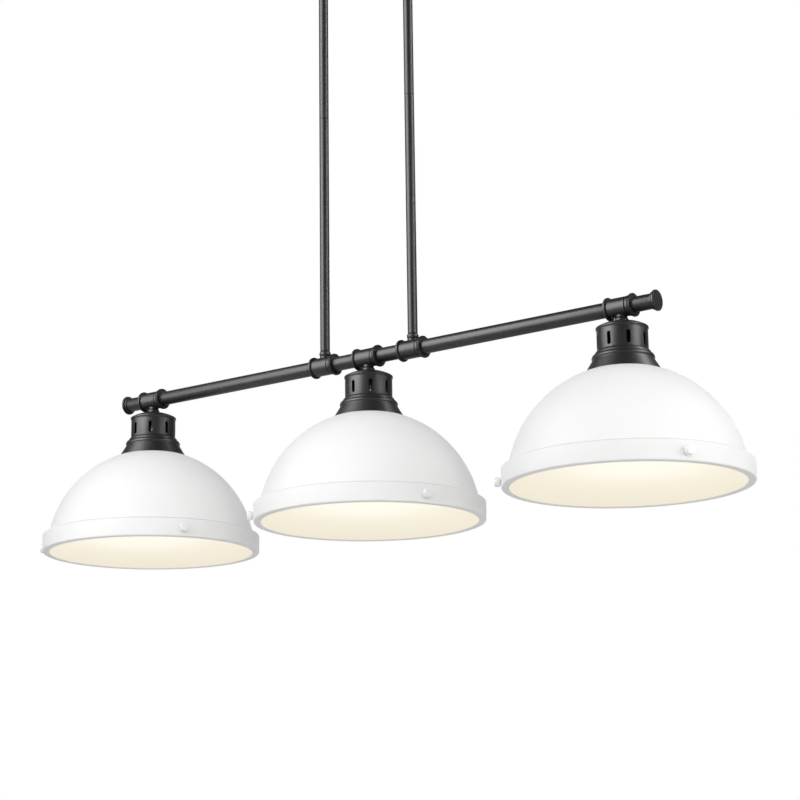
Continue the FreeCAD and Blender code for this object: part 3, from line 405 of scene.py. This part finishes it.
def stamp(name, shape, places, material, *replaced):
    """places: a list of (x, y, z in mm from the bar's middle, degrees about Z)."""
    mesh = bpy.data.meshes.new(name)
    shape.to_mesh(mesh)
    whole = bmesh.new()
    for x, y, z, degrees in places:
        before = len(whole.verts)
        whole.from_mesh(mesh)
        whole.verts.ensure_lookup_table()
        move = (Matrix.Translation((x * mm, y * mm, bar_height + z * mm))
                @ Matrix.Rotation(math.radians(degrees), 4, "Z"))
        bmesh.ops.transform(whole, matrix=move, verts=whole.verts[before:])
    for face in whole.faces:
        face.smooth = True
    for edge in whole.edges:
        edge.smooth = not (len(edge.link_faces) == 2 and edge.calc_face_angle() > SHARP)
    whole.to_mesh(mesh)
    whole.free()
    obj = bpy.data.objects.new(name, mesh)
    scene.collection.objects.link(obj)
    mesh.materials.append(material)
    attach(obj, body_of[replaced[0]])
    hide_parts(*replaced)
    print(name, len(mesh.polygons), "faces")


def stamp_along(name, shape, places, material, node):
    """The same shape as a piece of its own at each named place along the bar."""
    for side, x in places.items():
        stamp("%s_%s" % (name, side), shape, [(x, 0, 0, 0)], material, "%s_%s" % (node, side))


# %% [markdown]
# ## The dome
# Each shade is spun from one disc of sheet: a flat crown that the lampholder
# clamps, half a sphere, a small cove at its foot and a plain skirt that goes
# down inside the ring. The wall is drawn with both its faces, so the rim has
# its real thickness when the ring is lowered.

# %% Dome
SHEET = 1.2                      # thickness of domes, rings and collars
DOME_CENTRE = -261.12            # height of the half sphere's centre
SPHERE = 172.0                   # its radius, which reaches over SPHERE_ARC degrees
SPHERE_ARC = 68.68
SKIRT = 174.4                    # radius of the skirt
SKIRT_FOOT = DOME_CENTRE + 3.92
LEDGE = DOME_CENTRE + 29.52      # top of the skirt
CROWN = -91.757                  # the flat at the top, with a hole for the lampholder
CROWN_HOLE = 19.6

inside = SKIRT - SHEET
pen = Outline(CROWN_HOLE, CROWN).line(CROWN_HOLE, CROWN - SHEET).line(29.9, CROWN - SHEET)
pen.bow(167.52, DOME_CENTRE + 33.31, -rise_of(SPHERE - SHEET, SPHERE_ARC), steps=40)
pen.bow(inside, DOME_CENTRE + 28.333, rise_of(6.2, 82.5), steps=8)
pen.line(inside, SKIRT_FOOT, soft=0.2).line(SKIRT, SKIRT_FOOT, soft=0.2)
pen.line(SKIRT, LEDGE, soft=0.8).line(SKIRT - 0.8, LEDGE)
pen.bow(168.70, DOME_CENTRE + 33.54, -rise_of(5.0, 78.75), steps=8)
pen.bow(30.0, CROWN, rise_of(SPHERE, SPHERE_ARC), steps=48)
stamp_along("dome", pen.turn(128), SIDES, dome_enamel_painted_shadow, "shade")

# %% [markdown]
# ## The ring
# The ring is a rolled channel that slips over the skirt. It hides the edge of
# the glass and carries it on the wide lip at its foot. Its long corners are
# rounded, the lower one more, so it reads as a soft band in the picture.

# %% Ring
RING = 180.0                     # radius of the ring
RING_FOOT = -262.52
RING_TOP = RING_FOOT + 28.8
LIP = 168.5                      # radius of the hole in the wide lip
TOP_LIP = 175.0                  # and in the narrow one
FOOT_CORNER, TOP_CORNER, INNER_CORNER = 2.4, 1.6, 2.8

inside = RING - SHEET
floor_level, roof_level = RING_FOOT + SHEET, RING_TOP - SHEET
pen = Outline(LIP, RING_FOOT).line(RING - FOOT_CORNER, RING_FOOT)
pen.bow(RING, RING_FOOT + FOOT_CORNER, rise_of(FOOT_CORNER, 90)).line(RING, RING_TOP - TOP_CORNER)
pen.bow(RING - TOP_CORNER, RING_TOP, rise_of(TOP_CORNER, 90))
pen.line(TOP_LIP, RING_TOP, soft=0.3).line(TOP_LIP, roof_level, soft=0.3)
pen.line(inside - INNER_CORNER, roof_level)
pen.bow(inside, roof_level - INNER_CORNER, -rise_of(INNER_CORNER, 90), steps=5)
pen.line(inside, floor_level + INNER_CORNER)
pen.bow(inside - INNER_CORNER, floor_level, -rise_of(INNER_CORNER, 90), steps=5)
pen.line(LIP, floor_level, soft=0.3)
stamp_along("ring", pen.turn(128), SIDES, white_enamel, "retaining_ring")

# %% Glass
GLASS, GLASS_THICK = 173.5, 3.0
pen = Outline(0, floor_level).line(GLASS, floor_level, soft=1.0)
pen.line(GLASS, floor_level + GLASS_THICK, soft=1.0).line(0, floor_level + GLASS_THICK)
shape = pen.turn(128, closed=False)
for side, x in SIDES.items():
    stamp("glass_" + side, shape, [(x, 0, 0, 0)], glass[side], "diffuser_" + side)

# %% [markdown]
# ## Thumbscrews
# Three screws a ring hold it up. Each has a plain round head with a soft front
# edge and a short neck, so a dark line shows between head and ring. A screw is
# drawn upright and then laid down, so that it points out of the ring.

# %% Thumbscrews
SCREW_LEVEL = RING_TOP - 15.0
RING_TURN = {"left": -1.0, "middle": 4.0, "right": -4.0}
SCREWS = {"front_right": 60.0, "back": 180.0, "front_left": 300.0}
TIP, NECK, HEAD, END = 174.7, 180.3, 182.3, 190.3  # from the ring's axis

pen = Outline(0, TIP).line(2.0, TIP).line(2.5, TIP + 0.5).line(2.5, NECK)
pen.line(4.0, NECK, soft=0.3).line(4.0, HEAD).line(7.0, HEAD, soft=0.6)
pen.line(7.0, END, soft=1.4).line(0, END)
shape = pen.turn(40, closed=False)
quarter_turn(shape, "X")
for side, x in SIDES.items():
    for where, angle in SCREWS.items():
        stamp("screw_%s_%s" % (side, where), shape, [(x, 0, SCREW_LEVEL, RING_TURN[side] + angle)],
              screw_enamel, "%s_thumbscrew_%s" % (side, where))

# %% [markdown]
# ## Vent caps
# The cap over each shade lets the bulb's heat out through eight upright slots.
# It is turned first and then cut: one cutter holds all eight slots, and a
# boolean takes them out together. The caps are not lined up with each other in
# the photograph, so each has its own turn.

# %% Vent caps
STEM_HOLE = 4.85                 # radius of the hole for the threaded stem
CAP_TOP, CAP_RIM, CAP_FOOT = -23.2, -31.2, -66.0
CAP_WALL = 1.0
CAP_TURN = {"left": -10.0, "middle": -3.5, "right": -2.0}
SLOTS, SLOT_LEVEL = 8, -52.7
SLOT_ROUND, SLOT_HALF = 3.0, 6.9  # radius of a slot's ends, half its straight part
CUT_FROM, CUT_DEPTH = 28, 16


def slot_cutter():
    cutter = bmesh.new()
    for number in range(SLOTS):
        before = len(cutter.verts)
        stand = (Matrix.Translation((0, -CUT_FROM * mm, 0))
                 @ Matrix.Rotation(math.pi / 2, 4, "X"))
        bmesh.ops.create_circle(cutter, cap_ends=True, radius=SLOT_ROUND * mm, segments=24,
                                matrix=stand)
        cutter.verts.ensure_lookup_table()
        for vert in cutter.verts[before:]:
            vert.co.z += (SLOT_HALF if vert.co.z > 1e-7 else -SLOT_HALF) * mm
        pushed = bmesh.ops.extrude_face_region(cutter, geom=[cutter.faces[:][-1]])["geom"]
        bmesh.ops.translate(cutter, vec=(0, -CUT_DEPTH * mm, 0),
                            verts=[v for v in pushed if isinstance(v, bmesh.types.BMVert)])
        cutter.verts.ensure_lookup_table()
        slot = cutter.verts[before:]
        bmesh.ops.rotate(cutter, verts=slot, cent=(0, 0, 0),
                         matrix=Matrix.Rotation(2 * math.pi * number / SLOTS, 3, "Z"))
        bmesh.ops.translate(cutter, verts=slot, vec=(0, 0, SLOT_LEVEL * mm))
    bmesh.ops.recalc_face_normals(cutter, faces=cutter.faces[:])
    return cutter


def cut_away(shape, cutter):
    """The shape without the cutter, as a bmesh."""
    pair = []
    for label, part in (("whole", shape), ("knife", cutter)):
        mesh = bpy.data.meshes.new(label)
        part.to_mesh(mesh)
        pair.append(bpy.data.objects.new(label, mesh))
        scene.collection.objects.link(pair[-1])
    cut = pair[0].modifiers.new("slots", "BOOLEAN")
    cut.object = pair[1]
    cut.solver = "EXACT"
    result = bmesh.new()
    result.from_object(pair[0], bpy.context.evaluated_depsgraph_get())
    for obj in pair:
        bpy.data.objects.remove(obj)
    return result


pen = Outline(STEM_HOLE, CAP_TOP - CAP_WALL).line(10.0, CAP_TOP - CAP_WALL)
pen.bow(37.3, CAP_RIM - CAP_WALL, -2.04, steps=14).line(37.3, -33.4).bow(36.2, -37.8, 0.5)
pen.line(36.2, CAP_FOOT).line(37.2, CAP_FOOT, soft=0.25).line(37.2, -37.8).bow(38.3, -33.4, -0.5)
pen.line(38.3, CAP_RIM, soft=0.5).bow(10.0, CAP_TOP, 2.04, steps=16).line(STEM_HOLE, CAP_TOP)
slotted = cut_away(pen.turn(96), slot_cutter())
for side, x in SIDES.items():
    stamp("slotted_cap_" + side, slotted, [(x, 0, 0, CAP_TURN[side])], black_coat,
          "vent_cap_" + side)

# %% [markdown]
# ## Stepped collars
# Under the cap sits a collar, spun in two steps above a cone that bells out on
# to the dome. Its outline runs down the inside and comes back up the outside.

# %% Stepped collars
pen = Outline(STEM_HOLE, CAP_FOOT - SHEET).line(36.8, CAP_FOOT - SHEET).bow(40.0, -71.4, 0.9)
pen.line(40.0, -72.6).line(41.3, -72.6).bow(44.5, -77.0, 0.8).line(43.2, -79.2)
pen.line(54.8, -98.031).line(56.0, -98.44, soft=0.2).line(44.4, -79.2, soft=0.7)
pen.line(45.7, -77.6, soft=0.7).bow(41.7, -71.4, 1.2).line(41.2, -71.4, soft=0.25)
pen.bow(37.2, CAP_FOOT, 1.0).line(STEM_HOLE, CAP_FOOT)
stamp_along("stepped_collar", pen.turn(96), SIDES, black_coat, "shade_collar")

# %% [markdown]
# ## Bar, tees and rods
# The bar runs through five fittings. Each tee has a rolled flange at its left;
# the locking collar at its right has a ring between two grooves and then a
# flange with a fine line round it. These small steps are what the eye reads as
# a fitting, so each one is drawn, with its edges just broken.

# %% Bar and end caps
BAR, BAR_END = 11.5, 509         # radius and half the length
BAR_BORE = 10.0
pen = Outline(BAR_BORE, -BAR_END).line(BAR, -BAR_END, soft=0.25)
pen.line(BAR, BAR_END, soft=0.25).line(BAR_BORE, BAR_END)
stamp("bar", pen.turn(64, along_bar=True), [(0, 0, 0, 0)], black_coat, "bar_tube")

pen = Outline(0, -12).line(9.95, -12, soft=0.6).line(9.95, 0).line(11.8, 0).line(11.8, 1.2)
pen.line(13.5, 1.2, soft=0.5).line(13.5, 3.7, soft=0.5).line(11.8, 3.7).line(11.8, 4.9)
pen.line(15.6, 4.9, soft=0.5).line(15.6, 7.5).line(14.9, 8.2).line(0, 8.2)
shape = pen.turn(64, closed=False, along_bar=True)
stamp("bar_end_left", shape, [(-BAR_END, 0, 0, 180)], black_coat, "end_cap_left")
stamp("bar_end_right", shape, [(BAR_END, 0, 0, 0)], black_coat, "end_cap_right")

# %% Tees and locking collars
TEE_BORE, TEE, FLANGE = 11.55, 14.7, 17.4   # radii; a flange is 0.6 less at its edges
TEE_END = 11.8                   # where the locking collar begins
BOSS, BOSS_END = 8.5, 15.6       # the boss that a bead screws on to

pen = Outline(TEE_BORE, -22).line(FLANGE - 0.6, -22).line(FLANGE, -21.4, soft=0.4)
pen.line(FLANGE, -18.8, soft=0.4).line(FLANGE - 0.6, -18.2).line(TEE, -18.2)
pen.line(TEE, TEE_END - 0.3).line(TEE - 0.3, TEE_END).line(TEE_BORE, TEE_END)
tee = pen.turn(64, along_bar=True)
pen = Outline(STEM_HOLE, -BOSS_END).line(BOSS, -BOSS_END, soft=0.3)
pen.line(BOSS, 3 - BOSS_END).line(STEM_HOLE, 3 - BOSS_END)
mesh = bpy.data.meshes.new("boss")
pen.turn(40).to_mesh(mesh)
tee.from_mesh(mesh)
stamp_along("tee", tee, SIDES, black_coat, "shade_tee")
quarter_turn(tee, "X", math.pi)
stamp_along("rod_foot", tee, RODS, black_coat, "rod_tee")

pen = Outline(TEE_BORE, 0).line(12.6, 0).line(12.6, 1.4).line(14.9, 1.4).line(15.3, 1.8)
pen.line(15.3, 5.0).line(14.9, 5.4).line(12.6, 5.4).line(12.6, 6.8).line(FLANGE - 0.6, 6.8)
pen.line(FLANGE, 7.4, soft=0.3).line(FLANGE, 8.2).line(FLANGE - 0.6, 8.7).line(FLANGE, 9.2)
pen.line(FLANGE, 10.0, soft=0.3).line(FLANGE - 0.6, 10.6).line(TEE_BORE, 10.6)
stamp("locking_collars", pen.turn(64, along_bar=True),
      [(x + TEE_END, 0, 0, 0) for x in [*SIDES.values(), *RODS.values()]], black_coat,
      "tee_lock_collars")

# %% Beads and rods
BEAD, ROD_FOOT, ROD_LENGTH = 7.5, 24.2, 396
ROD, ROD_BORE = 7.75, 6.45       # radii

pen = Outline(STEM_HOLE, CAP_TOP).line(BEAD, CAP_TOP, soft=0.2).bow(BEAD, -16.2, 2.7, steps=12)
pen.line(BEAD, -BOSS_END).line(STEM_HOLE, -BOSS_END)
stamp("neck_beads_round", pen.turn(48), [(x, 0, 0, 0) for x in SIDES.values()], black_coat,
      "neck_beads")
pen = Outline(STEM_HOLE, BOSS_END).line(BEAD, BOSS_END, soft=0.3)
pen.bow(BEAD, ROD_FOOT, 1.8, steps=10).line(STEM_HOLE, ROD_FOOT)
stamp("rod_beads_round", pen.turn(48), [(x, 0, 0, 0) for x in RODS.values()], black_coat,
      "rod_beads")

pen = Outline(ROD_BORE, 0).line(ROD - 0.5, 0).line(ROD, 0.5, soft=0.2)
pen.line(ROD, ROD_LENGTH - 0.5, soft=0.2).line(ROD - 0.5, ROD_LENGTH).line(ROD_BORE, ROD_LENGTH)
shape = pen.turn(48)
for side, x in RODS.items():
    for length, foot in (("lower", ROD_FOOT), ("upper", ROD_FOOT + ROD_LENGTH)):
        stamp("%s_rod_%s" % (length, side), shape, [(x, 0, foot, 0)], black_coat,
              "rod_%s_%s" % (length, side))

# %% [markdown]
# ## Light and backdrop
# The camera sees a white world. As light the world is softer, and in
# reflections it is nearly black except far behind the object, so that the black
# pieces keep their dark sides and get a bright edge where they turn away. The
# panels are of two kinds for the same reason: some only light, and some only
# show in reflections. The floor bounces light up into the shades. To the camera
# it is as white as the world, and from below it is clear.

# %% World
scene.view_settings.view_transform = "Standard"
world = bpy.data.worlds.new("studio")
scene.world = world
world.use_nodes = True
tree = world.node_tree
tree.nodes.clear()
rays = tree.nodes.new("ShaderNodeLightPath")
seen = Wire(tree, rays.outputs["Is Camera Ray"])
seen = seen.maths("MAXIMUM", Wire(tree, rays.outputs["Is Transmission Ray"]))
mirrored = Wire(tree, rays.outputs["Is Glossy Ray"])
outward = Wire(tree, tree.nodes.new("ShaderNodeTexCoord").outputs["Generated"])
behind = outward.vector("DOT_PRODUCT", {1: level}, output="Value").smooth(0.7, 1.0)
AMBIENT = 0.6
reflected = 0.05 + 0.95 * behind
strength = AMBIENT + mirrored * (reflected - AMBIENT)


def background(glow):
    return seen.node("ShaderNodeBackground", {}, {"Color": (1, 1, 1, 1), "Strength": glow},
                     "Background")


mixed = seen.node("ShaderNodeMixShader", {},
                  {0: seen, 1: background(strength), 2: background(1.0)}, "Shader")
out = tree.nodes.new("ShaderNodeOutputWorld")
tree.links.new(mixed.socket, out.inputs["Surface"])

# %% Panels of light
LIGHT_AIM = Vector((0, 0, bar_height - 0.1))


def softbox(name, place, wide, tall, glow, shine):
    """An even glow. Where shine is set it only shows in reflections, and otherwise only lights."""
    data = bpy.data.lights.new(name, "AREA")
    data.shape = "RECTANGLE"
    data.size = wide
    data.size_y = tall
    data.energy = glow * math.pi * wide * tall
    lamp = bpy.data.objects.new(name, data)
    scene.collection.objects.link(lamp)
    facing = (place - LIGHT_AIM).to_track_quat("Z", "Y").to_matrix().to_4x4()
    lamp.matrix_world = Matrix.Translation(place) @ facing
    lamp.visible_diffuse = not shine
    lamp.visible_glossy = shine


# name, degrees to the right of the camera, metres off, metres up, wide, tall, glow, shine
PANELS = (("left_softbox", -50, 1.8, 0.35, 1.4, 1.3, 2.1, False),
          ("right_softbox", 59, 2.4, 0.0, 1.2, 0.8, 3.5, False),
          ("front_softbox", 14, 5.0, 1.5, 2.0, 1.6, 5.2, False),
          ("left_shine_near", -55, 2.4, 0.9, 1.35, 2.9, 8.5, True),
          ("left_shine_far", -84, 2.4, 0.9, 1.15, 2.9, 5.5, True),
          ("right_shine_low", 57, 2.4, 0.4, 1.1, 1.4, 7.0, True),
          ("right_shine_high", 80, 2.4, 1.8, 0.9, 1.4, 10.0, True))
for name, side, off, rise, wide, tall, glow, shine in PANELS:
    angle = yaw + math.radians(side)
    way = Vector((math.sin(angle), -math.cos(angle), 0.0))
    softbox(name, LIGHT_AIM + way * off + Vector((0, 0, rise)), wide, tall, glow, shine)
softbox("overhead", LIGHT_AIM + Vector((0.2, -0.5, 2.2)), 1.8, 0.7, 1.3, False)

# %% Floor
FLOOR_DROP, FLOOR_SIZE, FLOOR_GLOW = 1.6, 14, 0.55
bpy.ops.mesh.primitive_plane_add(size=FLOOR_SIZE, location=(0, 0, bar_height - FLOOR_DROP))
floor = bpy.context.active_object
floor.name = "studio_floor"
paper = finish_of("paper", lambda place: {}, Base_Color=(0.74, 0.74, 0.74, 1), Roughness=0.9,
                  Emission_Color=(1, 1, 1, 1))
tree = paper.node_tree
shader = tree.nodes["Principled BSDF"]
seen = Wire(tree, tree.nodes.new("ShaderNodeLightPath").outputs["Is Camera Ray"])
below = Wire(tree, tree.nodes.new("ShaderNodeNewGeometry").outputs["Backfacing"])
tree.links.new((seen * FLOOR_GLOW).socket, shader.inputs["Emission Strength"])
solid, clear = Wire(tree, shader.outputs[0]), seen.node("ShaderNodeBsdfTransparent")
one_sided = seen.node("ShaderNodeMixShader", {}, {0: seen * below, 1: solid, 2: clear}, "Shader")
tree.links.new(one_sided.socket, tree.nodes["Material Output"].inputs["Surface"])
floor.data.materials.append(paper)
